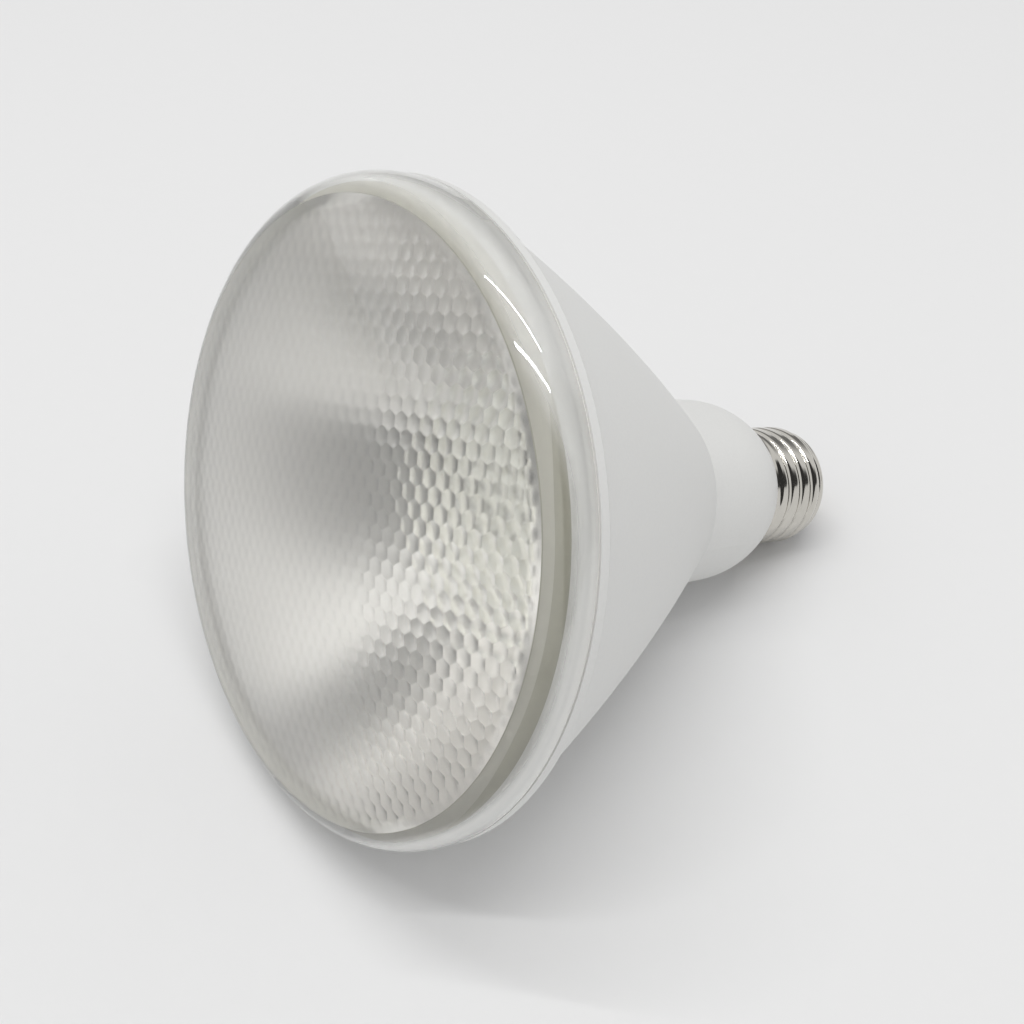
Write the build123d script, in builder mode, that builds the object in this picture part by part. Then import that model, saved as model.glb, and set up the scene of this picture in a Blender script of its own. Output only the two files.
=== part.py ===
from build123d import *
import os
from math import acos, asin, atan2, ceil, cos, hypot, pi, radians, sin, sqrt

os.makedirs("parts", exist_ok=True)

# Lengths along the lamp axis, from the tip of the centre contact to the front of the lens
contact_height = 1.2
insulator_height = 4.1
shell_length = 19.3
neck_length = 26.15
cone_length = 66.95
lip_length = 2.2
seal_thickness = 0.5
skirt_length = 2.1
shoulder_radius = 7.0
dome_rise = 3.9

# Outside of the housing and the lens
rim_radius = 60.5
lip_step = 1.3
lip_round = 0.5
cone_swell = 1.6
neck_radius = 20.3
neck_draft = 0.6
neck_round = 25.0
neck_overhang = 0.95
housing_wall = 2.0
neck_floor_thickness = 2.4

# Lens cover, its tongue in the housing and the seal under its skirt
lens_wall = 1.8
rim_width = 4.7
tongue_width = 1.6
tongue_depth = 2.2
tongue_clearance = 0.15
seal_inset = 0.45

# Honeycomb of lenslets moulded on the lens cover's inner face
lenslet_pitch = 3.15
lenslet_depth = 0.4
lenslet_turn = 27.5

# Edison screw cap of the 27 mm class, with a rolled thread of seven turns to the inch
crest_radius = 13.15
thread_depth = 0.85
thread_pitch = 3.629
thread_turns = 4
thread_land = 0.9
shell_skirt = 2.2
shell_skirt_inset = 0.25
shell_wall = 0.3
shell_mouth_radius = 10.75
shell_mouth_length = 2.1
spigot_wall = 2.0
cap_clearance = 0.1

# Tip insulator and centre contact
insulator_face_radius = 5.4
insulator_flange = 1.6
insulator_bore = 0.8
contact_radius = 4.8
contact_round = 0.6

# Aluminium heat spreader that seats in the cone, and the reflector that stands on it
spreader_height = 33.0
spreader_floor = 2.0
spreader_wall = 1.5
spreader_length = 26.0
spreader_clearance = 0.1
spreader_lead_hole = 4.0
reflector_wall = 1.2
reflector_foot_radius = 27.0
reflector_rise = 1.7
reflector_swell = 2.0
reflector_clearance = 0.3

# LED board with its packages, screws and connector
pad_thickness = 0.3
board_thickness = 1.6
board_radius = 25.5
inner_led_circle = 10.5
inner_led_count = 6
outer_led_circle = 18.5
outer_led_count = 12
led_size = 3.0
led_height = 0.8
led_window = 2.3
led_window_depth = 0.3
screw_count = 3
screw_circle = 21.8
screw_turn = 15.0
screw_radius = 1.5
screw_head_radius = 2.6
screw_head_height = 1.8
screw_head_round = 0.7
screw_recess_width = 0.8
screw_recess_length = 3.0
screw_recess_depth = 0.9
screw_clearance = 0.1
connector_width = 8.0
connector_depth = 5.0
connector_height = 4.2
connector_round = 0.5

# Driver board, on edge in two slotted ribs of the neck
driver_thickness = 1.6
driver_width = 33.0
driver_length = 36.0
driver_lift = 16.0
driver_corner = 4.0
rib_width = 4.4
rib_reach = 3.2
rib_stop = 2.0
rib_length = 11.0
rib_clearance = 0.15

# Capacitor cans and the transformer, on the driver board's lower face
input_can_radius = 5.0
input_can_length = 14.0
output_can_radius = 4.0
output_can_length = 10.0
can_margin = 1.5
can_groove = 0.4
can_groove_width = 1.0
can_groove_place = 2.0
ferrite_width = 13.0
ferrite_height = 12.0
ferrite_depth = 5.0
ferrite_leg = 3.4
ferrite_window = 2.6
ferrite_window_height = 8.4
winding_clearance = 0.15
transformer_gap = 0.5

# Small parts on its upper face, in two columns beside the middle
column_place = 6.6
film_lift = 9.0
choke_lift = 18.0
chip_lift = 28.8
film_width = 12.0
film_length = 5.0
film_height = 8.0
film_round = 0.8
choke_flange_radius = 4.5
choke_waist_radius = 3.4
choke_flange = 1.2
choke_height = 8.0
bridge_size = 6.0
bridge_height = 2.4
bridge_leg = 0.9
bridge_leg_height = 0.4
chip_length = 4.9
chip_width = 3.9
chip_height = 1.5
chip_leg_length = 1.0
chip_leg_width = 0.42
chip_leg_pitch = 1.27
chip_leg_height = 0.3
chip_legs_per_side = 4
fuse_radius = 1.7
fuse_end_radius = 2.0
fuse_length = 9.0
fuse_end_length = 1.5

# Leads
lead_radius = 0.55
lead_spacing = 3.0
lead_overlap = 8.0
lead_bend = 4.0
mains_spacing = 16.5


# Stations along the axis, each the sum of the lengths before it
shell_base = contact_height + insulator_height
shell_top = shell_base + shell_length
neck_top = shell_top + neck_length
cone_top = neck_top + cone_length
lip_top = cone_top + lip_length
skirt_base = lip_top + seal_thickness
rim_station = skirt_base + skirt_length
lens_apex = rim_station + shoulder_radius + dome_rise

# The lamp comes to rest on the rounded edge of the lip and on the thread's lowest crest
root_radius = crest_radius - thread_depth
thread_flank = (thread_pitch - 2 * thread_land) / 2
thread_top = shell_top - shell_skirt
last_crest = thread_top - thread_flank - (thread_turns - 1) * thread_pitch - thread_land
lip_rise = cone_top + lip_round - last_crest
lip_reach = rim_radius - lip_round - crest_radius
lean = atan2(lip_reach, lip_rise) + asin(lip_round / hypot(lip_reach, lip_rise))

# The box of the lying lamp is centred over the origin, with its floor at zero
shoulder_centre = rim_radius - shoulder_radius
front_reach = rim_station * cos(lean) + shoulder_centre * sin(lean) + shoulder_radius
tip_reach = contact_round * (1 - cos(lean)) + (contact_radius - contact_round) * sin(lean)
tip = Vector(
    0,
    (front_reach - tip_reach) / 2,
    crest_radius * cos(lean) - last_crest * sin(lean),
)
forward = Vector(0, -cos(lean), sin(lean))
downward = Vector(0, -sin(lean), -cos(lean))
lamp_axis = Axis(tip, forward)

# Half sections are drawn with radius across and station up, and the driver board lies in the same plane
section = Plane(tip, x_dir=(1, 0, 0), z_dir=downward)


def across(station):
    """Plane square to the lamp axis at a station, looking out of the lens."""
    return Plane(tip + forward * station, x_dir=(1, 0, 0), z_dir=forward)


def at(x, depth, station):
    """Point beside the driver board's middle plane, for a lead's route."""
    return tip + Vector(x, 0, 0) + downward * depth + forward * station


# The cone swells by an arc through its two ends, and every wall inside it is concentric with that arc
cone_radius = rim_radius - lip_step
cone_chord = hypot(cone_radius - neck_radius, cone_length)
cone_arc = cone_chord**2 / (8 * cone_swell) + cone_swell / 2
cone_in = (cone_arc - cone_swell) / cone_chord
cone_centre_radius = (cone_radius + neck_radius) / 2 - cone_in * cone_length
cone_centre = (cone_top + neck_top) / 2 + cone_in * (cone_radius - neck_radius)


def cone_point(station, inset=0):
    """Point on the cone's profile, or on a wall inset from it."""
    reach = sqrt((cone_arc - inset) ** 2 - (station - cone_centre) ** 2)
    return (cone_centre_radius + reach, station)


# The neck narrows a little and then rounds in to stand just outside the thread
neck_end_radius = crest_radius + neck_overhang
neck_centre_radius = neck_radius - neck_draft - neck_round
neck_sweep = acos((neck_end_radius - neck_centre_radius) / neck_round)
neck_straight = shell_top + neck_round * sin(neck_sweep)
neck_floor = shell_top + neck_floor_thickness


def neck_point(station, inset=0):
    """Point on the neck's rounded end, or on a wall inset from it."""
    reach = sqrt((neck_round - inset) ** 2 - (station - neck_straight) ** 2)
    return (neck_centre_radius + reach, station)


# The dome is a shallow sphere that runs into the shoulder without a break
dome_height = shoulder_radius + dome_rise
dome_sphere = (shoulder_centre**2 + dome_height**2 - shoulder_radius**2) / (2 * dome_rise)
dome_centre = lens_apex - dome_sphere
dome_slope = asin(shoulder_centre / (dome_sphere - shoulder_radius))


def dome_point(radius, inset=0):
    """Point on the dome's profile, or on its inner face."""
    return (radius, dome_centre + sqrt((dome_sphere - inset) ** 2 - radius**2))


def shoulder_point(slope):
    """Point on the shoulder where the surface leans by an angle from the lens face."""
    return (
        shoulder_centre + shoulder_radius * sin(slope),
        rim_station + shoulder_radius * cos(slope),
    )


# The lenslets are cells of a honeycomb that is turned about the axis and runs out past the lens bore
lens_bore = rim_radius - rim_width
tongue_radius = lens_bore + tongue_width
tongue_base = skirt_base - tongue_depth
lenslet_corner = lenslet_pitch / sqrt(3)
lenslet_field = lens_bore + lenslet_corner
lenslet_rows = ceil(2 * lenslet_field / lenslet_pitch)
lenslet_step = pi / 3
lenslet_right = Vector(cos(radians(lenslet_turn)), 0, 0) - downward * sin(radians(lenslet_turn))
lenslet_plane = Plane(tip, x_dir=lenslet_right, z_dir=forward)


def lenslet_neighbour(x, y, side):
    """Middle of the cell across one side."""
    angle = side * lenslet_step
    return (x + lenslet_pitch * cos(angle), y + lenslet_pitch * sin(angle))


def lenslet_edge(x, y, side):
    """The two corners of a cell at the ends of one side."""
    turns = [(side - 1 / 2) * lenslet_step, (side + 1 / 2) * lenslet_step]
    return [(x + lenslet_corner * cos(turn), y + lenslet_corner * sin(turn)) for turn in turns]


def lenslet_point(x, y, inset):
    """Point of the honeycomb at an inset from the dome."""
    return lenslet_plane.from_local_coords((x, y, dome_point(hypot(x, y), inset)[1]))


# The mould's core: six facets fall from each cell's middle to the dome's inner face, over a skirt of flat walls
lenslet_cells = []
for row in range(-lenslet_rows, lenslet_rows + 1):
    for column in range(-lenslet_rows, lenslet_rows + 1):
        cell = (lenslet_pitch * (column + row / 2), lenslet_pitch * row * sin(lenslet_step))
        if hypot(*cell) < lenslet_field:
            lenslet_cells.append(cell)
core_foot = tongue_base - lens_wall
core_faces = []
core_outline = []
for cell in lenslet_cells:
    middle = lenslet_point(*cell, lens_wall + lenslet_depth)
    for side in range(6):
        edge = lenslet_edge(*cell, side)
        crease = [lenslet_point(*corner, lens_wall) for corner in edge]
        core_faces.append(Face(Wire.make_polygon([middle, *crease])))
        if hypot(*lenslet_neighbour(*cell, side)) >= lenslet_field:
            feet = [lenslet_plane.from_local_coords((*corner, core_foot)) for corner in edge]
            core_faces.append(Face(Wire.make_polygon([*crease, *reversed(feet)])))
            core_outline.append(Edge.make_line(*feet))
core_faces.append(Face(Wire(core_outline)))
lens_core = Solid(Shell(core_faces))
with BuildPart() as lens_hollow:
    with BuildSketch(across(tongue_base)):
        Circle(lens_bore)
    extrude(amount=lens_apex - tongue_base)
    add(lens_core, mode=Mode.INTERSECT, clean=False)


# Clear lens cover: dome with lenslets inside, rounded shoulder, skirt and a tongue that enters the housing
shoulder_middle = (dome_slope + pi / 2) / 2
with BuildPart() as lens_cover:
    with BuildSketch(section):
        with BuildLine():
            ThreePointArc(
                (0, lens_apex),
                dome_point(shoulder_centre / 2),
                shoulder_point(dome_slope),
            )
            ThreePointArc(
                shoulder_point(dome_slope),
                shoulder_point(shoulder_middle),
                (rim_radius, rim_station),
            )
            Polyline(
                (rim_radius, rim_station),
                (rim_radius, skirt_base),
                (tongue_radius, skirt_base),
                (tongue_radius, tongue_base),
                (0, tongue_base),
                (0, lens_apex),
            )
        make_face()
    revolve(axis=lamp_axis)
    add(lens_hollow.part, mode=Mode.SUBTRACT, clean=False)
lens_cover.part.label = "lens_cover"
export_step(lens_cover.part, "parts/lens_cover.step")


# Flat silicone seal between the lens skirt and the housing lip
pocket_radius = tongue_radius + tongue_clearance
with BuildPart() as seal_ring:
    with BuildSketch(across(lip_top)):
        Circle(rim_radius - seal_inset)
        Circle(pocket_radius, mode=Mode.SUBTRACT)
    extrude(amount=seal_thickness)
seal_ring.part.label = "seal_ring"
export_step(seal_ring.part, "parts/seal_ring.step")


# White housing: lip, swelling cone, neck, and the spigot that the screw shell is crimped on
pocket_floor = tongue_base - tongue_clearance
shell_bore = root_radius - shell_wall
spigot_radius = shell_bore - cap_clearance
spigot_bore = spigot_radius - spigot_wall
insulator_top = shell_base + shell_mouth_length + insulator_flange
spigot_base = insulator_top + cap_clearance
neck_bore = neck_radius - neck_draft - housing_wall
neck_middle = (shell_top + neck_straight) / 2
inner_middle = (neck_floor + neck_straight) / 2
cone_middle = (neck_top + cone_top) / 2
lip_corner = lip_round * sin(pi / 4)
with BuildPart() as housing:
    with BuildSketch(section):
        with BuildLine():
            Polyline(
                cone_point(pocket_floor, housing_wall),
                (pocket_radius, pocket_floor),
                (pocket_radius, lip_top),
                (rim_radius, lip_top),
                (rim_radius, cone_top + lip_round),
            )
            ThreePointArc(
                (rim_radius, cone_top + lip_round),
                (rim_radius - lip_round + lip_corner, cone_top + lip_round - lip_corner),
                (rim_radius - lip_round, cone_top),
            )
            Line((rim_radius - lip_round, cone_top), cone_point(cone_top))
            ThreePointArc(cone_point(cone_top), cone_point(cone_middle), cone_point(neck_top))
            Line(cone_point(neck_top), neck_point(neck_straight))
            ThreePointArc(neck_point(neck_straight), neck_point(neck_middle), neck_point(shell_top))
            Polyline(
                neck_point(shell_top),
                (spigot_radius, shell_top),
                (spigot_radius, spigot_base),
                (spigot_bore, spigot_base),
                (spigot_bore, neck_floor),
                neck_point(neck_floor, housing_wall),
            )
            ThreePointArc(
                neck_point(neck_floor, housing_wall),
                neck_point(inner_middle, housing_wall),
                (neck_bore, neck_straight),
            )
            Line((neck_bore, neck_straight), cone_point(neck_top, housing_wall))
            ThreePointArc(
                cone_point(neck_top, housing_wall),
                cone_point(cone_middle, housing_wall),
                cone_point(pocket_floor, housing_wall),
            )
        make_face()
    revolve(axis=lamp_axis)
    # Two ribs stand in from the neck wall, each with a slot for an edge of the driver board
    driver_base = shell_top + driver_lift
    rib_base = driver_base - rib_stop
    rib_middle = neck_bore - rib_reach / 2 + housing_wall / 4
    with BuildSketch(across(rib_base)):
        with Locations((rib_middle, 0), (-rib_middle, 0)):
            Rectangle(rib_reach + housing_wall / 2, rib_width)
    extrude(amount=rib_length)
    with BuildSketch(across(driver_base)):
        Rectangle(driver_width + 2 * rib_clearance, driver_thickness + 2 * rib_clearance)
    extrude(amount=rib_length, mode=Mode.SUBTRACT)
    # The return lead leaves the spigot through a small hole to reach the shell
    lead_exit = (spigot_base + shell_top) / 2
    lead_hole = lead_radius + cap_clearance
    with BuildSketch(Plane(tip + forward * lead_exit, x_dir=forward, z_dir=(-1, 0, 0))):
        Circle(lead_hole)
    extrude(amount=shell_bore, mode=Mode.SUBTRACT)
housing.part.label = "housing"
export_step(housing.part, "parts/housing.step")


# Nickel-plated screw shell with the crests and roots of its rolled thread
skirt_radius = crest_radius - shell_skirt_inset
thread_profile = [(skirt_radius, shell_top), (skirt_radius, thread_top)]
for turn in range(thread_turns):
    crest_top = thread_top - thread_flank - turn * thread_pitch
    crest_base = crest_top - thread_land
    thread_profile += [
        (root_radius, crest_top + thread_flank),
        (crest_radius, crest_top),
        (crest_radius, crest_base),
        (root_radius, crest_base - thread_flank),
    ]
mouth_top = shell_base + shell_mouth_length
with BuildPart() as screw_shell:
    with BuildSketch(section):
        with BuildLine():
            Polyline(
                (shell_bore, shell_top),
                *thread_profile,
                (root_radius, mouth_top),
                (shell_mouth_radius, shell_base),
                (shell_mouth_radius - shell_wall, shell_base),
                (shell_bore, mouth_top),
                close=True,
            )
        make_face()
    revolve(axis=lamp_axis)
screw_shell.part.label = "screw_shell"
export_step(screw_shell.part, "parts/screw_shell.step")


# Dark insulator that closes the shell, with a bore for the live lead
insulator_rim = shell_mouth_radius - shell_wall - cap_clearance
insulator_body = shell_bore - cap_clearance
with BuildPart() as cap_insulator:
    with BuildSketch(section):
        with BuildLine():
            Polyline(
                (insulator_bore, contact_height),
                (insulator_face_radius, contact_height),
                (insulator_rim, shell_base),
                (insulator_body, mouth_top),
                (insulator_body, insulator_top),
                (insulator_bore, insulator_top),
                close=True,
            )
        make_face()
    revolve(axis=lamp_axis)
cap_insulator.part.label = "cap_insulator"
export_step(cap_insulator.part, "parts/cap_insulator.step")


# Tip contact, a rounded disc under the insulator
with BuildPart() as centre_contact:
    with BuildSketch(across(0)):
        Circle(contact_radius)
    extrude(amount=contact_height)
    tip_edge = centre_contact.edges().filter_by(GeomType.CIRCLE).sort_by(lamp_axis)[0]
    fillet(tip_edge, radius=contact_round)
centre_contact.part.label = "centre_contact"
export_step(centre_contact.part, "parts/centre_contact.step")


# Aluminium heat spreader: a flat floor with a wall that wedges in the cone
spreader_base = neck_top + spreader_height
spreader_seat = spreader_base + spreader_floor
spreader_top = spreader_base + spreader_length
spreader_outside = housing_wall + spreader_clearance
spreader_inside = spreader_outside + spreader_wall
spreader_middle = (spreader_base + spreader_top) / 2
wall_middle = (spreader_seat + spreader_top) / 2
with BuildPart() as heat_spreader:
    with BuildSketch(section):
        with BuildLine():
            ThreePointArc(
                cone_point(spreader_base, spreader_outside),
                cone_point(spreader_middle, spreader_outside),
                cone_point(spreader_top, spreader_outside),
            )
            Line(cone_point(spreader_top, spreader_outside), cone_point(spreader_top, spreader_inside))
            ThreePointArc(
                cone_point(spreader_top, spreader_inside),
                cone_point(wall_middle, spreader_inside),
                cone_point(spreader_seat, spreader_inside),
            )
            Polyline(
                cone_point(spreader_seat, spreader_inside),
                (spreader_lead_hole, spreader_seat),
                (spreader_lead_hole, spreader_base),
                cone_point(spreader_base, spreader_outside),
            )
        make_face()
    revolve(axis=lamp_axis)
    with BuildSketch(across(spreader_base)):
        with PolarLocations(screw_circle, screw_count, start_angle=screw_turn):
            Circle(screw_radius)
    extrude(amount=spreader_floor, mode=Mode.SUBTRACT)
heat_spreader.part.label = "heat_spreader"
export_step(heat_spreader.part, "parts/heat_spreader.step")


# Soft thermal pad between the spreader and the LED board
board_base = spreader_seat + pad_thickness
board_top = board_base + board_thickness
with BuildPart() as thermal_pad:
    with BuildSketch(across(spreader_seat)):
        Circle(board_radius)
        Circle(spreader_lead_hole, mode=Mode.SUBTRACT)
        with PolarLocations(screw_circle, screw_count, start_angle=screw_turn):
            Circle(screw_radius + screw_clearance, mode=Mode.SUBTRACT)
    extrude(amount=pad_thickness)
thermal_pad.part.label = "thermal_pad"
export_step(thermal_pad.part, "parts/thermal_pad.step")


# Aluminium-core LED board with its screw holes and the two lead holes under the connector
lead_depth = driver_thickness / 2 + lead_radius
lead_places = [(lead_spacing / 2, lead_depth), (-lead_spacing / 2, lead_depth)]
with BuildPart() as led_board:
    with BuildSketch(across(board_base)):
        Circle(board_radius)
        with PolarLocations(screw_circle, screw_count, start_angle=screw_turn):
            Circle(screw_radius + screw_clearance, mode=Mode.SUBTRACT)
        with Locations(*lead_places):
            Circle(lead_radius + screw_clearance, mode=Mode.SUBTRACT)
    extrude(amount=board_thickness)
led_board.part.label = "led_board"
export_step(led_board.part, "parts/led_board.step")


# LED packages in two rings, each a white frame round a shallow window
led_rings = [(inner_led_circle, inner_led_count), (outer_led_circle, outer_led_count)]
with BuildPart() as led_packages:
    with BuildSketch(across(board_top)):
        for led_ring in led_rings:
            with PolarLocations(*led_ring):
                Rectangle(led_size, led_size)
    extrude(amount=led_height)
    with BuildSketch(across(board_top + led_height)):
        for led_ring in led_rings:
            with PolarLocations(*led_ring):
                Rectangle(led_window, led_window)
    extrude(amount=-led_window_depth, mode=Mode.SUBTRACT)
led_packages.part.label = "led_packages"
export_step(led_packages.part, "parts/led_packages.step")


# Yellow phosphor gel that fills each package's window
with BuildPart() as led_windows:
    with BuildSketch(across(board_top + led_height)):
        for led_ring in led_rings:
            with PolarLocations(*led_ring):
                Rectangle(led_window, led_window)
    extrude(amount=-led_window_depth)
led_windows.part.label = "led_windows"
export_step(led_windows.part, "parts/led_windows.step")


# Pan-head screws that draw the LED board down on the spreader
screw_top = board_top + screw_head_height
with BuildPart() as board_screws:
    with BuildSketch(across(board_top)):
        with PolarLocations(screw_circle, screw_count, start_angle=screw_turn):
            Circle(screw_head_radius)
    extrude(amount=screw_head_height)
    head_edges = board_screws.edges().filter_by(GeomType.CIRCLE).group_by(lamp_axis)[-1]
    fillet(head_edges, radius=screw_head_round)
    with BuildSketch(across(screw_top)):
        with PolarLocations(screw_circle, screw_count, start_angle=screw_turn):
            Rectangle(screw_recess_length, screw_recess_width)
            Rectangle(screw_recess_width, screw_recess_length)
    extrude(amount=-screw_recess_depth, mode=Mode.SUBTRACT)
    with BuildSketch(across(spreader_base)):
        with PolarLocations(screw_circle, screw_count, start_angle=screw_turn):
            Circle(screw_radius)
    extrude(amount=board_top - spreader_base)
board_screws.part.label = "board_screws"
export_step(board_screws.part, "parts/board_screws.step")


# Two-pole connector over the lead holes
with BuildPart() as led_connector:
    with BuildSketch(across(board_top)):
        with Locations((0, lead_depth)):
            RectangleRounded(connector_width, connector_depth, connector_round)
    extrude(amount=connector_height)
led_connector.part.label = "led_connector"
export_step(led_connector.part, "parts/led_connector.step")


# Metallised reflector that stands on the spreader and opens just inside the lens
reflector_top = rim_station + reflector_rise
reflector_mouth = lens_bore - reflector_clearance - reflector_wall
reflector_foot = (reflector_foot_radius, spreader_seat)
reflector_rim = (reflector_mouth, reflector_top)
with BuildPart() as reflector:
    with BuildSketch(section):
        with BuildLine():
            SagittaArc(reflector_foot, reflector_rim, -reflector_swell)
            Line(reflector_rim, (reflector_mouth + reflector_wall, reflector_top))
            SagittaArc(
                (reflector_foot_radius + reflector_wall, spreader_seat),
                (reflector_mouth + reflector_wall, reflector_top),
                -reflector_swell,
            )
            Line((reflector_foot_radius + reflector_wall, spreader_seat), reflector_foot)
        make_face()
    revolve(axis=lamp_axis)
reflector.part.label = "reflector"
export_step(reflector.part, "parts/reflector.step")


# Driver board, with its lower corners cut to clear the neck
driver_face = driver_thickness / 2
driver_top = driver_base + driver_length
with BuildPart() as driver_board:
    with BuildSketch(section) as driver_outline:
        with Locations((0, driver_base)):
            Rectangle(driver_width, driver_length, align=(Align.CENTER, Align.MIN))
        chamfer(driver_outline.vertices().group_by(lamp_axis)[-1], length=driver_corner)
    extrude(amount=driver_face, both=True)
driver_board.part.label = "driver_board"
export_step(driver_board.part, "parts/driver_board.step")


# Transformer beside the output can: a ferrite frame with two windows, and the winding round its middle leg
output_x = driver_width / 2 - output_can_radius - can_margin
transformer_x = output_x - output_can_radius - transformer_gap - ferrite_width / 2
transformer_station = driver_top - ferrite_height / 2 - ferrite_window
winding_depth = ferrite_depth + 2 * ferrite_window
transformer_depth = driver_face + winding_depth / 2
ferrite_window_place = (ferrite_leg + ferrite_window) / 2
with BuildPart() as transformer_core:
    with BuildSketch(section.offset(transformer_depth)):
        with Locations((transformer_x, transformer_station)):
            Rectangle(ferrite_width, ferrite_height)
            with GridLocations(2 * ferrite_window_place, 0, 2, 1):
                Rectangle(ferrite_window, ferrite_window_height, mode=Mode.SUBTRACT)
    extrude(amount=ferrite_depth / 2, both=True)
transformer_core.part.label = "transformer_core"
export_step(transformer_core.part, "parts/transformer_core.step")

winding_width = ferrite_leg + 2 * (ferrite_window - winding_clearance)
winding_height = ferrite_window_height - 2 * winding_clearance
with BuildPart() as transformer_winding:
    with BuildSketch(across(transformer_station)):
        with Locations((transformer_x, -transformer_depth)):
            RectangleRounded(winding_width, winding_depth, ferrite_window / 2)
            Rectangle(
                ferrite_leg + 2 * winding_clearance,
                ferrite_depth + 2 * winding_clearance,
                mode=Mode.SUBTRACT,
            )
    extrude(amount=winding_height / 2, both=True)
transformer_winding.part.label = "transformer_winding"
export_step(transformer_winding.part, "parts/transformer_winding.step")


# Electrolytic capacitors lying on the driver board, each a can with a rolled groove near its seal
def can_profile(seat, radius, length):
    """Half section of a can with the middle of its seal end at a point."""
    with BuildSketch(Plane(seat, x_dir=(1, 0, 0), z_dir=downward)) as half:
        with BuildLine():
            Polyline(
                (0, 0),
                (radius, 0),
                (radius, can_groove_place),
                (radius - can_groove, can_groove_place + can_groove_width / 2),
                (radius, can_groove_place + can_groove_width),
                (radius, length),
                (0, length),
                close=True,
            )
        make_face()
    return half.sketch


input_seat = at(0, driver_face + input_can_radius, driver_base + can_margin)
with BuildPart() as input_capacitor:
    revolve(can_profile(input_seat, input_can_radius, input_can_length), axis=Axis(input_seat, forward))
input_capacitor.part.label = "input_capacitor"
export_step(input_capacitor.part, "parts/input_capacitor.step")

output_base = driver_top - output_can_length - can_margin
output_seat = at(output_x, driver_face + output_can_radius, output_base)
with BuildPart() as output_capacitor:
    revolve(can_profile(output_seat, output_can_radius, output_can_length), axis=Axis(output_seat, forward))
output_capacitor.part.label = "output_capacitor"
export_step(output_capacitor.part, "parts/output_capacitor.step")


# Film capacitor on the driver board's upper face
upper_face = section.offset(-driver_face)
with BuildPart() as film_capacitor:
    with BuildSketch(upper_face):
        with Locations((0, driver_base + film_lift)):
            RectangleRounded(film_width, film_length, film_round)
    extrude(amount=-film_height)
film_capacitor.part.label = "film_capacitor"
export_step(film_capacitor.part, "parts/film_capacitor.step")


# Choke, a ferrite drum with two flanges
choke_place = (-column_place, driver_base + choke_lift)
choke_top = choke_height - choke_flange
choke_steps = [
    (choke_flange_radius, 0, choke_flange),
    (choke_waist_radius, choke_flange, choke_top),
    (choke_flange_radius, choke_top, choke_height),
]
with BuildPart() as choke:
    for choke_radius, choke_from, choke_to in choke_steps:
        with BuildSketch(section.offset(-driver_face - choke_from)):
            with Locations(choke_place):
                Circle(choke_radius)
        extrude(amount=choke_from - choke_to)
choke.part.label = "choke"
export_step(choke.part, "parts/choke.step")


# Bridge rectifier, a square case on four legs
bridge_place = (column_place, driver_base + choke_lift)
with BuildPart() as bridge_rectifier:
    with BuildSketch(upper_face):
        with Locations(bridge_place):
            Rectangle(bridge_size, bridge_size)
    extrude(amount=-bridge_height)
    with BuildSketch(upper_face):
        with Locations(bridge_place):
            with GridLocations(bridge_size + bridge_leg, bridge_size / 2, 2, 2):
                Rectangle(bridge_leg, bridge_leg)
    extrude(amount=-bridge_leg_height)
bridge_rectifier.part.label = "bridge_rectifier"
export_step(bridge_rectifier.part, "parts/bridge_rectifier.step")


# Controller chip with a row of legs down each side
chip_place = (column_place, driver_base + chip_lift)
with BuildPart() as controller_chip:
    with BuildSketch(upper_face):
        with Locations(chip_place):
            Rectangle(chip_width, chip_length)
    extrude(amount=-chip_height)
    with BuildSketch(upper_face):
        with Locations(chip_place):
            with GridLocations(chip_width + chip_leg_length, chip_leg_pitch, 2, chip_legs_per_side):
                Rectangle(chip_leg_length, chip_leg_width)
    extrude(amount=-chip_leg_height)
controller_chip.part.label = "controller_chip"
export_step(controller_chip.part, "parts/controller_chip.step")


# Fusible resistor, a ceramic rod with a cap on each end
fuse_station = driver_base + chip_lift
fuse_middle = (fuse_length - fuse_end_length) / 2
with BuildPart() as fuse_resistor:
    with BuildSketch(across(fuse_station)):
        with Locations((-column_place, driver_face + fuse_end_radius)):
            Circle(fuse_radius)
    extrude(amount=fuse_length / 2, both=True)
    for fuse_side in (-fuse_middle, fuse_middle):
        with BuildSketch(across(fuse_station + fuse_side)):
            with Locations((-column_place, driver_face + fuse_end_radius)):
                Circle(fuse_end_radius)
        extrude(amount=fuse_end_length / 2, both=True)
fuse_resistor.part.label = "fuse_resistor"
export_step(fuse_resistor.part, "parts/fuse_resistor.step")


# Output leads, from the top of the driver board up to the connector
lead_start = driver_top - lead_overlap
lead_names = ["led_lead_positive", "led_lead_negative"]
for lead_name, lead_place in zip(lead_names, lead_places):
    with BuildPart() as led_lead:
        with BuildSketch(across(lead_start)):
            with Locations(lead_place):
                Circle(lead_radius)
        extrude(amount=board_top - lead_start)
    led_lead.part.label = lead_name
    export_step(led_lead.part, f"parts/{lead_name}.step")


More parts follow.
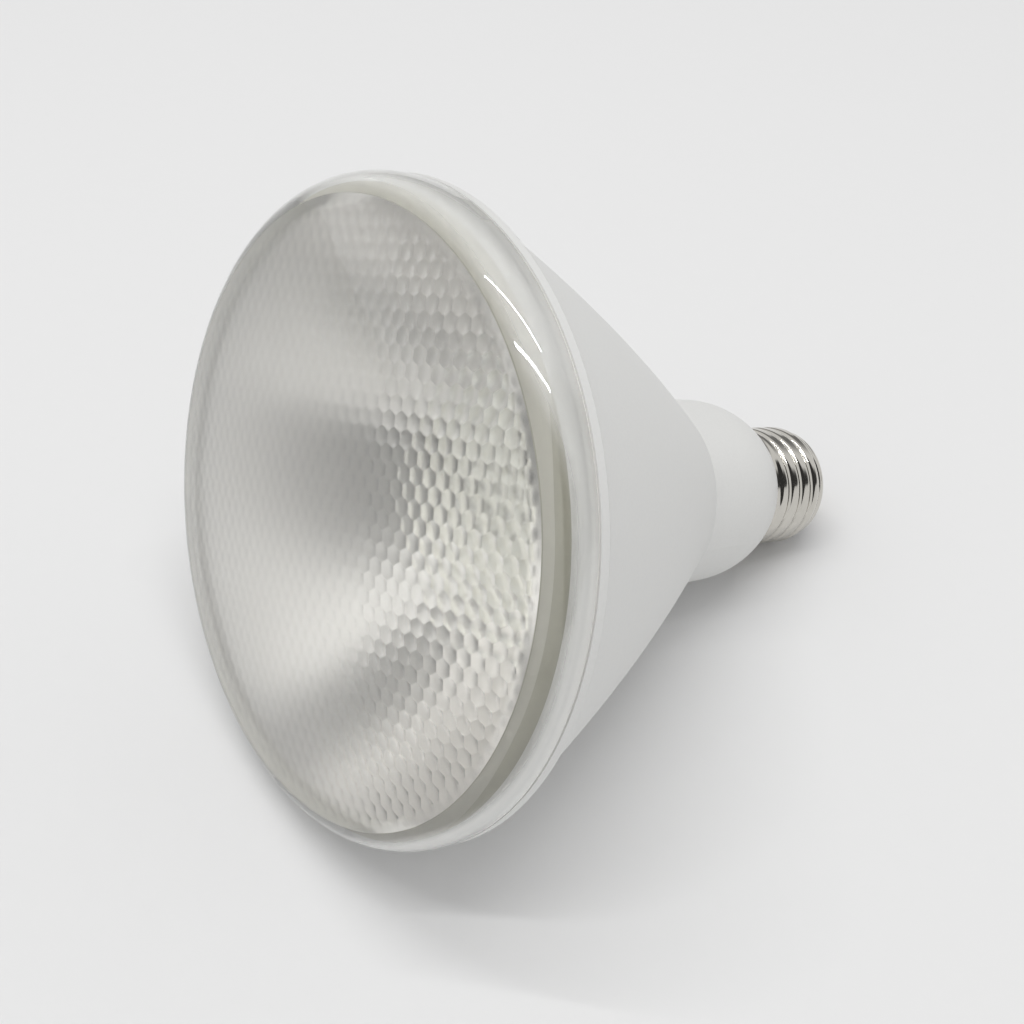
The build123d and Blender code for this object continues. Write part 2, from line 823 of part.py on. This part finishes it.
# Mains leads, from the bottom of the driver board to the tip contact and to the shell
mains_start = driver_base + lead_overlap
mains_clear = driver_base - lead_bend
live_x = mains_spacing / 2
neutral_end = sqrt(shell_bore**2 - lead_radius**2)
live_route = [
    at(live_x, lead_depth, mains_start),
    at(live_x, lead_depth, mains_clear),
    at(0, 0, neck_floor - lead_bend),
    at(0, 0, contact_height),
]
neutral_route = [
    at(-live_x, lead_depth, mains_start),
    at(-live_x, lead_depth, mains_clear),
    at(-spigot_bore / 2, 0, neck_floor - lead_bend / 2),
    at(-spigot_bore / 2, 0, lead_exit),
    at(-neutral_end, 0, lead_exit),
]
mains_leads = {"live_lead": live_route, "neutral_lead": neutral_route}
for lead_name, lead_route in mains_leads.items():
    with BuildPart() as mains_lead:
        with BuildLine() as lead_path:
            FilletPolyline(*lead_route, radius=lead_bend / 2)
        with BuildSketch(Plane(lead_route[0], z_dir=-forward)):
            Circle(lead_radius)
        sweep(path=lead_path.line)
    mains_lead.part.label = lead_name
    export_step(mains_lead.part, f"parts/{lead_name}.step")
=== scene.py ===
import math

import bpy
import numpy as np
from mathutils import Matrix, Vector


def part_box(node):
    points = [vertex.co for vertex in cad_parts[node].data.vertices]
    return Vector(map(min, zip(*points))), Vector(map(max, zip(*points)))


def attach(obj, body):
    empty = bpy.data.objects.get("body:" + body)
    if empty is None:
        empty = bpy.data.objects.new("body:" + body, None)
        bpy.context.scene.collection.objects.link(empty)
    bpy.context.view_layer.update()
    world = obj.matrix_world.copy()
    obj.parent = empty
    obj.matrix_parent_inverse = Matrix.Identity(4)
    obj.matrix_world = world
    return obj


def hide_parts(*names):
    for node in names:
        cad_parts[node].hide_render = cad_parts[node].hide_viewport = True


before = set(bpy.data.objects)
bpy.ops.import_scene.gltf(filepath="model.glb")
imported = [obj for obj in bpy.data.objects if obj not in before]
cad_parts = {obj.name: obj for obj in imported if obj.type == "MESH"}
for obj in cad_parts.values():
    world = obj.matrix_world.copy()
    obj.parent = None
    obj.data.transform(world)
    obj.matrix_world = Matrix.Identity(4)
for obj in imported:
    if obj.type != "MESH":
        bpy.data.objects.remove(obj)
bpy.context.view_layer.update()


# Housing: the white body of the lamp, moulded in one piece from a filled white thermoplastic.
# It has a lip for the lens cover, a swelling cone, and a neck whose spigot goes into the screw cap.
MM = 0.001


def linear(colour):
    """Turns an sRGB hex colour such as #d8d8d8 into linear red, green, blue and a full alpha."""
    level = np.array([int(colour[i : i + 2], 16) for i in (1, 3, 5)]) / 255
    level = np.where(level <= 0.04045, level / 12.92, ((level + 0.055) / 1.055) ** 2.4)
    return (*level, 1.0)


def add_node(tree, kind, inputs, **settings):
    """Adds a node of a kind with its settings, and sets each named input or links it to a node's output."""
    node = tree.nodes.new(kind)
    for name, value in settings.items():
        setattr(node, name, value)
    for name, value in inputs.items():
        if isinstance(value, bpy.types.NodeSocket):
            tree.links.new(value, node.inputs[name])
        else:
            node.inputs[name].default_value = value
    return node


def surface(name, colour, shade, grain, relief, **shader):
    """Makes a material whose colour wanders to a shade and whose skin rises by a relief, both over grains.
    Grain and relief are in mm, and finer real grains are drawn coarse enough to show. Any other name is a
    socket of the shader."""
    material = bpy.data.materials.new(name)
    material.use_nodes = True
    tree = material.node_tree
    place = add_node(tree, "ShaderNodeTexCoord", {})
    grains = {"Vector": place.outputs["Object"], "Scale": 1 / (grain * MM), "Detail": 3.0}
    noise = add_node(tree, "ShaderNodeTexNoise", grains)
    # Sockets of a mix share their names, so they go by number: 0 is the share, 6 and 7 are the two colours.
    colours = {0: noise.outputs["Fac"], 6: linear(colour), 7: linear(shade)}
    mottle = add_node(tree, "ShaderNodeMix", colours, data_type="RGBA")
    rise = {"Height": noise.outputs["Fac"], "Distance": relief * MM, "Strength": 1.0}
    bump = add_node(tree, "ShaderNodeBump", rise)
    skin = tree.nodes["Principled BSDF"]
    tree.links.new(mottle.outputs[2], skin.inputs["Base Color"])
    tree.links.new(bump.outputs["Normal"], skin.inputs["Normal"])
    for socket, value in shader.items():
        skin.inputs[socket.replace("_", " ").title().replace("Ior", "IOR")].default_value = value
    return material


def dress(material, *nodes):
    """Gives a material to CAD nodes."""
    for name in nodes:
        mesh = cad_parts[name].data
        mesh.materials.clear()
        mesh.materials.append(material)


# Filled thermoplastic from a finely etched mould: an even white with a soft, wide sheen.
white_plastic = surface(
    "white_thermoplastic", "#e2e2e0", "#dcdcda", grain=0.6, relief=0.004, roughness=0.5, ior=1.5
)
dress(white_plastic, "housing")


# Driver: the circuit that feeds the LEDs, on a board of glass laminate that stands in the housing's neck.
# A transformer, a choke, capacitors, chips and a fuse are soldered to it, and four sleeved leads join it to
# the screw cap and to the LEDs.

# Glass laminate under green lacquer: dark green with a low gloss.
green_laminate = surface("green_laminate", "#1d4f2b", "#174022", grain=1.2, relief=0.01, roughness=0.35)
dress(green_laminate, "driver_board")

# Sintered ferrite: charcoal, dull and finely grained.
ferrite = surface("ferrite", "#2a2a2c", "#202022", grain=0.3, relief=0.01, roughness=0.6)
dress(ferrite, "transformer_core", "choke")

# Polyester tape wrapped round the winding: yellow with a dull shine.
tape = surface("winding_tape", "#d9ad29", "#cfa224", grain=2.0, relief=0.02, roughness=0.5)
dress(tape, "transformer_winding")

# Shrunk vinyl: a blue close to black with a clear shine.
sleeve = surface("capacitor_sleeve", "#161a2a", "#101320", grain=2.0, relief=0.01, roughness=0.3)
dress(sleeve, "input_capacitor", "output_capacitor")

# Dipped epoxy: brick red and slightly glossy.
case = surface("film_case", "#8c2e1a", "#7c2816", grain=1.0, relief=0.01, roughness=0.4)
dress(case, "film_capacitor")

# Moulded epoxy: black and matt.
epoxy = surface("chip_epoxy", "#1a1a1b", "#141415", grain=0.2, relief=0.005, roughness=0.6)
dress(epoxy, "bridge_rectifier", "controller_chip")

# Lacquered ceramic: a pale greyish green with a dull shine.
ceramic = surface("fuse_ceramic", "#99a89e", "#8c9a91", grain=0.5, relief=0.005, roughness=0.5)
dress(ceramic, "fuse_resistor")

# Vinyl sleeves: red and black to the LEDs, brown and blue to the mains, all with a dull shine.
for lead, colour, shade in [
    ("led_lead_positive", "#9e1a12", "#90160f"),
    ("led_lead_negative", "#141414", "#0f0f0f"),
    ("live_lead", "#4a2412", "#401e0e"),
    ("neutral_lead", "#16366b", "#122e5c"),
]:
    dress(surface(lead + "_sleeve", colour, shade, grain=1.0, relief=0.01, roughness=0.5), lead)


# Heat spreader: a cup cast from aluminium that follows the wall of the housing and carries the LED board.
# A soft pad of filled silicone is clamped between the two and passes the heat on.

# Aluminium as cast: light grey metal with a broad, cloudy shine.
aluminium = surface(
    "cast_aluminium", "#c4c6c8", "#b4b6b8", grain=0.5, relief=0.02, roughness=0.4, metallic=1.0
)
dress(aluminium, "heat_spreader")

# Filled silicone: flat grey with hardly any shine.
pad = surface("thermal_pad", "#8c9199", "#80858c", grain=0.4, relief=0.02, roughness=0.9)
dress(pad, "thermal_pad")


# LED board: an aluminium-core disc under white solder mask, drawn down on the spreader by screws.
# Its LEDs sit on it in two rings, and a connector takes their leads.

# White solder mask: bright and glossy. It mirrors the cone round it, so it hardly shows through the lens.
mask = surface(
    "white_solder_mask", "#e6e6e0", "#dedfd8", grain=1.0, relief=0.005, roughness=0.25, metallic=0.8
)
dress(mask, "led_board")

# Moulded white frames of the LEDs: as bright and glossy as the mask they sit on.
body = surface("led_body", "#e8e8e2", "#e0e0da", grain=0.5, relief=0.003, roughness=0.25, metallic=0.8)
dress(body, "led_packages")

# Phosphor gel of a lamp that is off: a yellowish cream with a shine.
phosphor = surface("led_phosphor", "#dcd6c0", "#d4ceb6", grain=0.3, relief=0.01, roughness=0.3)
dress(phosphor, "led_windows")

# Zinc-plated steel: pale metal with a soft shine.
steel = surface("screw_steel", "#dcdcda", "#d2d2d0", grain=0.4, relief=0.01, roughness=0.35, metallic=1.0)
dress(steel, "board_screws")

# Moulded nylon: off-white with a dull shine.
nylon = surface("connector_nylon", "#dededa", "#d4d4d0", grain=0.6, relief=0.005, roughness=0.5)
dress(nylon, "led_connector")


# Reflector: a thin moulded cone, coated with aluminium in a vacuum. It stands on the spreader, opens just
# inside the lens cover and fills the view through it.

# Aluminium film on moulded plastic: a nearly white metal that blurs what it mirrors into soft bands.
metallised = surface(
    "metallised_reflector", "#fcfaf8", "#f8f6f4", grain=3.0, relief=0.01, roughness=0.3, metallic=0.9
)
dress(metallised, "reflector")


# Seal: a flat ring of pale silicone between the cover's skirt and the lip of the housing.
# Only its edge shows, set back a little from the rim, as a thin line round the lamp.

# Silicone: pale, flat and without a shine.
rubber = surface("silicone_seal", "#f2f1ee", "#eceae6", grain=0.5, relief=0.01, roughness=0.8)
dress(rubber, "seal_ring")


# Lens cover: clear polycarbonate, moulded with a smooth shallow dome outside and a honeycomb of lenslets
# inside. Its rounded shoulder runs down to the rim, and a tongue under the skirt enters the housing.
# Painted shade lies along the bore: a band on one side, and a thin painted shadow line at the lenslets' edge.
rim_radius = 60.5
rim_station = 122.5
skirt_base = 120.45
tongue_base = 118.2
tongue_radius = 57.4
lens_bore = 55.8
lens_wall = 1.8
shoulder_radius = 7.0
shoulder_rows = 14
shoulder_centre = rim_radius - shoulder_radius
dome_rise = 3.9
dome_rows = 24
dome_height = shoulder_radius + dome_rise
dome_sphere = (shoulder_centre**2 + dome_height**2 - shoulder_radius**2) / (2 * dome_rise)
dome_slope = math.asin(shoulder_centre / (dome_sphere - shoulder_radius))
lens_apex = rim_station + dome_height
dome_centre = lens_apex - dome_sphere
lenslet_pitch = 3.15
lenslet_turn = math.radians(27.5)
lenslet_curve = 9.0
lenslet_parts = 3
lenslet_corner = lenslet_pitch / math.sqrt(3)
row_spacing = lenslet_pitch * math.sqrt(0.75)
merge_grid = 1e-4
edge_tolerance = 1e-3
plain_margin = 2.2
least_bulge = 0.1
most_bulge = 1.1
bulge_direction = np.array([0.85, 0.4])
bulge_start = -16
bulge_end = 50
# Painted shade on the bore: a band from its foot, tallest over one side, and a thin painted shadow line.
shade_band_base = 122.5
shade_band_height = 2.4
shade_band_least = 0.05
shade_band_start = np.radians([-40, 0])
shade_band_end = np.radians([35, 65])
shadow_line = 0.3

# The lamp's axis runs forward through the middles of the pad and the seal. Stations count from its tip.
seal_station = 120.15
seal_low, seal_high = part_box("seal_ring")
pad_low, pad_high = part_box("thermal_pad")
seal_middle = np.array(seal_low + seal_high) / 2
pad_middle = np.array(pad_low + pad_high) / 2
forward = (seal_middle - pad_middle) / np.linalg.norm(seal_middle - pad_middle)
sideways = np.array([1.0, 0.0, 0.0])
upward = np.cross(forward, sideways)
tip = seal_middle - forward * seal_station * MM


def lamp_point(x, y, station):
    """Places points in the frame, from x and y across the lamp axis and the station along it from the tip,
    all in mm."""
    across = x[..., None] * sideways + y[..., None] * upward
    return tip + (across + station[..., None] * forward) * MM


def add_piece(name, points, faces, material, node, crease):
    """Makes a mesh piece that rides on the lamp, takes a slot's finish and stands for a CAD node. Edges
    folded by more than the crease, in degrees, stay sharp."""
    mesh = bpy.data.meshes.new(name)
    mesh.from_pydata(points, [], faces)
    mesh.materials.append(material)
    mesh.polygons.foreach_set("use_smooth", np.ones(len(mesh.polygons), bool))
    mesh.set_sharp_from_angle(angle=math.radians(crease))
    piece = bpy.data.objects.new(name, mesh)
    bpy.context.scene.collection.objects.link(piece)
    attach(piece, "root")
    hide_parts(node)
    return piece


def ramp(value, low, high):
    """Smooth step from 0 at the low end to 1 at the high end."""
    part = np.clip((value - low) / (high - low), 0, 1)
    return part**2 * (3 - 2 * part)


def cell_middle(column, row):
    """Middle of a cell: its column and half its row along by the pitch, its row up by the row spacing."""
    return np.stack([lenslet_pitch * (column + row / 2), row_spacing * row], -1)


def hexagon():
    """Points and faces of one cell, as six triangles round its middle, each cut by rows into equal parts.
    Its corners lie 60 degrees apart, the first at 30. A point lies its row's share of the way out and its
    column's share of the way from corner to corner."""
    turn = np.radians(30 + 60 * np.arange(7))
    corners = lenslet_corner * np.stack([np.cos(turn), np.sin(turn)], -1)
    here, there = corners[:-1, None], corners[1:, None]
    row, column = np.tril_indices(lenslet_parts + 1)
    out = row / lenslet_parts
    along = column / np.maximum(row, 1)
    points = out[:, None] * (here + along[:, None] * (there - here))
    first = np.arange(len(row))
    below = first + row + 1
    inner = row < lenslet_parts
    wide = inner & (column < row)
    widening = np.stack([first, below, below + 1], -1)[inner]
    narrowing = np.stack([first, below + 1, first + 1], -1)[wide]
    faces = np.concatenate([widening, narrowing]) + len(row) * np.arange(6)[:, None, None]
    return points.reshape(-1, 2), faces.reshape(-1, 3)


def honeycomb():
    """Cells laid side by side on the lattice, with their common points merged and all that lies outside the
    bore drawn in to its edge. Gives the points, the faces and whether each point is on that edge."""
    reach = int(2 * lens_bore / lenslet_pitch)
    column, row = np.meshgrid(np.arange(-reach, reach + 1), np.arange(-reach, reach + 1))
    middle = cell_middle(column, row).reshape(-1, 2)
    middle = middle[np.hypot(*middle.T) < lens_bore + lenslet_corner]
    cell, cell_faces = hexagon()
    points = (middle[:, None] + cell).reshape(-1, 2)
    faces = (cell_faces + len(cell) * np.arange(len(middle))[:, None, None]).reshape(-1, 3)
    place = np.round(points / merge_grid).astype(np.int64)
    _, keep, back = np.unique(place, axis=0, return_index=True, return_inverse=True)
    points, faces = points[keep], back.reshape(-1)[faces]
    radius = np.hypot(*points.T)
    outside = radius >= lens_bore - edge_tolerance
    points[outside] *= (lens_bore / radius[outside])[:, None]
    faces = faces[~outside[faces].all(1)]
    used, back = np.unique(faces, return_inverse=True)
    return points[used], back.reshape(-1, 3), outside[used]


def inner_face(points, turned):
    """Stations of the cover's inner face: the dome's inner sphere less a cap of a small sphere over each
    cell. The caps fade out to the bore, and they grow from faint to full across the lens."""
    # A point's own cell: three lattice coordinates that sum to 0 are rounded, and the worst one is put right.
    row = points[:, 1] / row_spacing
    column = points[:, 0] / lenslet_pitch - row / 2
    exact = np.stack([column, row, -column - row], -1)
    nearest = np.round(exact)
    worst = np.abs(nearest - exact).argmax(1)
    nearest[np.arange(len(nearest)), worst] -= nearest.sum(1)
    middle = cell_middle(nearest[:, 0], nearest[:, 1])
    away = np.minimum(np.hypot(*(points - middle).T), lenslet_corner)
    bulge = np.sqrt(lenslet_curve**2 - away**2) - math.sqrt(lenslet_curve**2 - lenslet_corner**2)
    bulge *= ramp(lens_bore - np.hypot(*points.T), 0, plain_margin)
    growth = ramp(turned @ bulge_direction, bulge_start, bulge_end)
    bulge *= least_bulge + (most_bulge - least_bulge) * growth
    return dome_centre + np.sqrt((dome_sphere - lens_wall) ** 2 - (points**2).sum(1)) - bulge


lattice, cell_faces, on_bore = honeycomb()
turn_cos, turn_sin = math.cos(lenslet_turn), math.sin(lenslet_turn)
cells = lattice @ np.array([[turn_cos, turn_sin], [-turn_sin, turn_cos]])
cell_station = inner_face(lattice, cells)

# The rest of the cover is one profile, from the dome over the rim and up the bore. It is carried round the
# lamp axis, at the angles of the points on the bore.
ring = np.flatnonzero(on_bore)
ring = ring[np.argsort(np.arctan2(cells[ring, 1], cells[ring, 0]))]
angle = np.arctan2(cells[ring, 1], cells[ring, 0])
slope = np.linspace(0, dome_slope, dome_rows + 1)[1:]
dome = np.stack([dome_sphere * np.sin(slope), dome_centre + dome_sphere * np.cos(slope)], -1)
roll = np.linspace(dome_slope, math.pi / 2, shoulder_rows + 1)[1:]
shoulder_out = shoulder_centre + shoulder_radius * np.sin(roll)
shoulder = np.stack([shoulder_out, rim_station + shoulder_radius * np.cos(roll)], -1)
skirt = [(rim_radius, skirt_base), (tongue_radius, skirt_base)]
tongue = [(tongue_radius, tongue_base), (lens_bore, tongue_base)]
edge_station = dome_centre + math.sqrt((dome_sphere - lens_wall) ** 2 - lens_bore**2)
bore = [(lens_bore, shade_band_base), (lens_bore, shade_band_base), (lens_bore, edge_station - shadow_line)]
profile = np.concatenate([dome, shoulder, skirt, tongue, bore])
ring_x = profile[:, :1] * np.cos(angle)
ring_y = profile[:, :1] * np.sin(angle)
ring_station = profile[:, 1:] + 0 * angle
# The band of painted shade is tallest over one side of the lamp.
shade_band_share = ramp(angle, *shade_band_start) * (1 - ramp(angle, *shade_band_end))
ring_station[-2] += shade_band_least + shade_band_height * shade_band_share
points = np.concatenate(
    [
        lamp_point(cells[:, 0], cells[:, 1], cell_station),
        lamp_point(ring_x, ring_y, ring_station).reshape(-1, 3),
        lamp_point(np.zeros(1), np.zeros(1), np.array([lens_apex])),
    ]
)
start, apex = len(cells), len(points) - 1
grid = np.concatenate([start + np.arange(ring_x.size).reshape(ring_x.shape), ring[None]])
after = np.roll(grid, -1, axis=1)
walls = np.stack([grid[:-1], grid[1:], after[1:], after[:-1]], -1).reshape(-1, 4)
crown = np.stack([np.full(len(ring), apex), grid[0], after[0]], -1)
faces = cell_faces[:, ::-1].tolist() + walls.tolist() + crown.tolist()

# Polished polycarbonate: clear with a hard gloss.
clear = surface(
    "clear_polycarbonate",
    "#fefefc",
    "#fdfdfa",
    grain=8.0,
    relief=0.0005,
    roughness=0.02,
    ior=1.58,
    transmission_weight=1.0,
    coat_weight=0.5,
    coat_roughness=0.02,
    coat_ior=1.6,
)
# Polycarbonate from an etched mould: clear but soft, so that each lenslet is a pillow of blurred light.
frosted = surface(
    "frosted_polycarbonate",
    "#fefefc",
    "#fdfdfa",
    grain=8.0,
    relief=0.0005,
    roughness=0.22,
    ior=1.58,
    transmission_weight=1.0,
)
# Wall of the bore, seen through the shoulder: a pale, warm grey without a shine.
wall = surface("lens_bore_wall", "#dedcd2", "#d7d5cb", grain=2.0, relief=0.01, roughness=0.6)
# Painted shade: a darker and warmer grey than the wall, flat, for the shadowed gap behind the reflector's
# rim.
painted_shade = surface("painted_shade_band", "#c8c6b8", "#bebcae", grain=1.5, relief=0.02, roughness=0.7)
# Skirt and tongue, which show the white lip that they lie against: white without a shine.
seat = surface("white_seat", "#f4f4f2", "#eeeeec", grain=2.0, relief=0.01, roughness=0.6)
lens = add_piece("lens", points, faces, clear, node="lens_cover", crease=10)
for material in (frosted, wall, painted_shade, seat):
    lens.data.materials.append(material)
clear_index, frosted_index, wall_index, painted_shade_index, seat_index = range(5)
outer_rows = len(dome) + len(shoulder)
row_finish = np.full(len(profile), clear_index)
row_finish[outer_rows:] = seat_index
# Rows of the bore: painted shade at its foot, the plain wall, and a painted shadow line at the lenslets'
# edge.
row_finish[-len(bore) :] = painted_shade_index, wall_index, painted_shade_index
cell_finish = np.full(len(cell_faces), frosted_index)
crown_finish = np.full(len(crown), clear_index)
finish = np.concatenate([cell_finish, np.repeat(row_finish, len(ring)), crown_finish])
lens.data.polygons.foreach_set("material_index", finish)

# Painted light on the rim: where the shoulder turns away, a milky white stands in for light carried inside
# the clear plastic. It sets in from 0 to 1 round a slope, in degrees, that is steeper beside the band of
# painted shade, and it is weaker at the top of the lamp.
piped_light_slope = 40
piped_light_delay = 32
piped_light_softness = math.radians(12)
piped_light_loss = 0.45
piped_light_transmission = 0.4
steep = np.zeros(len(profile))
steep[: len(dome)] = slope
steep[len(dome) : outer_rows] = roll
steep[outer_rows] = math.pi / 2
limit = np.radians(piped_light_slope + piped_light_delay * shade_band_share)
piped_light_share = ramp(steep[:, None], limit - piped_light_softness, limit + piped_light_softness)
piped_light_share *= 1 - piped_light_loss * np.maximum(np.sin(angle), 0)
piped_light = np.zeros(len(points))
piped_light[start:apex] = piped_light_share.ravel()
lens.data.attributes.new("piped_light", "FLOAT", "POINT").data.foreach_set("value", piped_light)
# The painted light lowers the cover's transmission, so that its white base colour shows.
cover_tree = clear.node_tree
piped_light_reader = add_node(cover_tree, "ShaderNodeAttribute", {}, attribute_name="piped_light")
clearness = {"Value": piped_light_reader.outputs["Fac"], "To Min": 1.0, "To Max": piped_light_transmission}
through = add_node(cover_tree, "ShaderNodeMapRange", clearness)
cover_skin = cover_tree.nodes["Principled BSDF"]
cover_tree.links.new(through.outputs[0], cover_skin.inputs["Transmission Weight"])


# Screw cap: a shell pressed from thin brass strip and nickel-plated, with a rolled right-hand thread.
# It is crimped to the housing round its skirt, and a dark insulator with a brass tip closes its end.
shell_top = 24.6
shell_base = 5.3
shell_wall = 0.3
shell_sides = 240
shell_rows = 200
bore_rows = 12
root_radius = 12.3
skirt_radius = 12.9
mouth_radius = 10.75
mouth_length = 2.1
thread_top = 22.4
thread_base = 10.2
thread_end = 1.0
thread_pitch = 3.629
thread_depth = 0.85
thread_crest = 20.654
crest_power = 6
groove_round = 0.06
crimp_count = 20
crimp_turn = math.radians(68)
crimp_station = 23.9
crimp_reach = 0.7
crimp_depth = 0.35
crimp_edge = 0.6


def mouth_rise(station):
    """Share of the way from the mouth's radius to the root's: a quarter of a sine wave along the mouth."""
    return np.sin(np.clip((station - shell_base) / mouth_length, 0, 1) * math.pi / 2)


def shell_radius(turn, station):
    """Outside radius of the shell: root + depth * (1 - t^6), where t goes from 0 on the broad crest of the
    helix to 1 in its tight groove. The thread runs out at both ends, the skirt lies above it, the mouth is
    drawn in below, and crimps are pressed into the skirt."""
    travel = ((station - thread_crest) / thread_pitch - turn / (2 * math.pi) + 0.5) % 1 - 0.5
    from_crest = 1 - (np.hypot(1 - 2 * abs(travel), groove_round) - groove_round)
    above = ramp(station, thread_top - thread_end, thread_top)
    run = ramp(station, shell_base + mouth_length, thread_base) * (1 - above)
    thread = thread_depth * (1 - from_crest**crest_power) * run
    skirt = (skirt_radius - root_radius) * above
    dent = ramp(np.cos(crimp_count * (turn - crimp_turn)), crimp_edge, 1.0)
    crimp = crimp_depth * dent * (1 - ramp(abs(station - crimp_station), 0, crimp_reach))
    return mouth_radius + (root_radius - mouth_radius) * mouth_rise(station) + thread + skirt - crimp


turn = np.linspace(0, 2 * math.pi, shell_sides, endpoint=False)
outer_station = np.linspace(shell_top, shell_base, shell_rows)[:, None] + 0 * turn
outer_radius = shell_radius(turn, outer_station)
inner_station = np.linspace(shell_base, shell_top, bore_rows)[:, None] + 0 * turn
inner_radius = mouth_radius - shell_wall + (root_radius - mouth_radius) * mouth_rise(inner_station)
tube_radius = np.concatenate([outer_radius, inner_radius])
tube_station = np.concatenate([outer_station, inner_station])
tube = lamp_point(tube_radius * np.cos(turn), tube_radius * np.sin(turn), tube_station).reshape(-1, 3)
tube_grid = np.arange(tube_radius.size).reshape(tube_radius.shape)
below, beside = np.roll(tube_grid, -1, 0), np.roll(tube_grid, -1, 1)
tube_faces = np.stack([tube_grid, below, np.roll(below, -1, 1), beside], -1).reshape(-1, 4).tolist()

# Bright nickel plate: a slightly warm mirror that shows the light and dark of the room in sharp bands.
nickel = surface(
    "nickel_plate", "#d3d0c9", "#cbc8c1", grain=3.0, relief=0.001, roughness=0.1, metallic=1.0
)
add_piece("threaded_shell", tube, tube_faces, nickel, node="screw_shell", crease=25)

# Glazed insulator: nearly black with a clear shine.
glaze = surface("black_insulator", "#141414", "#0e0e0e", grain=1.0, relief=0.004, roughness=0.25)
dress(glaze, "cap_insulator")

# Bare brass: pale yellow metal with a soft shine.
brass = surface("contact_brass", "#c7b285", "#bba678", grain=1.0, relief=0.01, roughness=0.3, metallic=1.0)
dress(brass, "centre_contact")


# Stage: a plain pale floor inside a white light tent, with two strips of lamps under its roof. Mirrors show
# two dark openings in the tent, and the light that comes through the lens has patches of its own.
floor_side = 8.0
corner = floor_side / 2
floor_corners = [(-corner, -corner, 0), (corner, -corner, 0), (corner, corner, 0), (-corner, corner, 0)]
floor_mesh = bpy.data.meshes.new("floor")
floor_mesh.from_pydata(floor_corners, [], [(0, 1, 2, 3)])

# Painted board: an even pale grey, flat.
paint = surface("pale_floor", "#e8e8e8", "#e7e7e7", grain=5.0, relief=0.0, roughness=0.9)
floor_mesh.materials.append(paint)
floor = bpy.data.objects.new("floor", floor_mesh)
bpy.context.scene.collection.objects.link(floor)

# The tent's brightness: as light on the lamp, as mirrors and the camera see it, and through the lens.
ambient = 0.755
tent_level = 1.0
lens_level = 1.77
world = bpy.data.worlds.new("tent")
bpy.context.scene.world = world
world.use_nodes = True
tent = world.node_tree
rays = add_node(tent, "ShaderNodeLightPath", {})
place = add_node(tent, "ShaderNodeTexCoord", {})


def patch(level, azimuth, elevation, inside, outside, amount):
    """Adds a soft round patch to a level of the tent: the amount within one angle from its middle, nothing
    beyond another, both in degrees. An amount below 0 is a shade."""
    flat, high = math.radians(azimuth), math.radians(elevation)
    middle = (math.cos(high) * math.cos(flat), math.cos(high) * math.sin(flat), math.sin(high))
    directions = {0: place.outputs["Generated"], 1: middle}
    toward = add_node(tent, "ShaderNodeVectorMath", directions, operation="DOT_PRODUCT")
    edges = {"From Min": math.cos(math.radians(outside)), "From Max": math.cos(math.radians(inside))}
    spot_inputs = {"Value": toward.outputs["Value"], **edges, "To Max": amount}
    spot = add_node(tent, "ShaderNodeMapRange", spot_inputs, interpolation_type="SMOOTHSTEP")
    return add_node(tent, "ShaderNodeMath", {0: level, 1: spot.outputs[0]}, operation="ADD").outputs[0]


wall_level = patch(tent_level, azimuth=30, elevation=22.5, inside=38, outside=46, amount=-0.95)
wall_level = patch(wall_level, azimuth=132, elevation=8, inside=15, outside=40, amount=-0.75)
lens_level = patch(lens_level, azimuth=199, elevation=7, inside=7, outside=31, amount=3.5)
lens_level = patch(lens_level, azimuth=262, elevation=32, inside=8, outside=30, amount=2.5)
lens_level = patch(lens_level, azimuth=298, elevation=23, inside=27, outside=51, amount=-1.9)
lens_level = patch(lens_level, azimuth=195, elevation=49, inside=4, outside=27, amount=-2.0)
lens_level = patch(lens_level, azimuth=320, elevation=78, inside=6, outside=28, amount=-0.6)
lens_level = add_node(tent, "ShaderNodeMath", {0: lens_level, 1: 0.0}, operation="MAXIMUM").outputs[0]

# Each kind of ray has its own level. In a mix of numbers, socket 0 is the share, and 2 and 3 the levels.
level = ambient
for kind, seen in [
    ("Is Glossy Ray", wall_level),
    ("Is Transmission Ray", lens_level),
    ("Is Camera Ray", tent_level),
]:
    level = add_node(tent, "ShaderNodeMix", {0: rays.outputs[kind], 2: level, 3: seen}).outputs[0]
tent.nodes["Background"].inputs["Color"].default_value = linear("#e8e8e8")
tent.links.new(level, tent.nodes["Background"].inputs["Strength"])

# Two strips of light give the shoulder its two bright streaks.
roof = 1.5


def add_strip(name, start, end, width, power):
    """Hangs a strip of light under the roof, shining straight down. It runs between two places, each given
    as shares of the roof's height."""
    start, end = (Vector((x * roof, y * roof, roof)) for x, y in (start, end))
    along = end - start
    light = bpy.data.lights.new(name, "AREA")
    light.shape = "RECTANGLE"
    light.size, light.size_y, light.energy = along.length, width, power
    strip = bpy.data.objects.new(name, light)
    strip.location = (start + end) / 2
    strip.rotation_euler = (0, 0, math.atan2(along.y, along.x))
    strip.visible_transmission = False
    bpy.context.scene.collection.objects.link(strip)


add_strip("far_strip", start=(-0.448, -0.304), end=(0.16, 0.353), width=0.03, power=5.4)
add_strip("near_strip", start=(-0.13, -0.508), end=(0.362, 0.182), width=0.05, power=5.4)

# The camera stands at the photograph's viewing angle. Its film and its focal length are in mm.
camera_place = Vector((170.9, -120.3, 238.6)) * MM
camera_aim = Vector((-0.6025, 0.3870, -0.6981))
camera = bpy.data.objects.new("camera", bpy.data.cameras.new("camera"))
camera.data.sensor_width = 36
camera.data.lens = 50.69
camera.location = camera_place
camera.rotation_euler = camera_aim.to_track_quat("-Z", "Y").to_euler()
bpy.context.scene.collection.objects.link(camera)
bpy.context.scene.camera = camera
bpy.context.scene.view_settings.view_transform = "Standard"
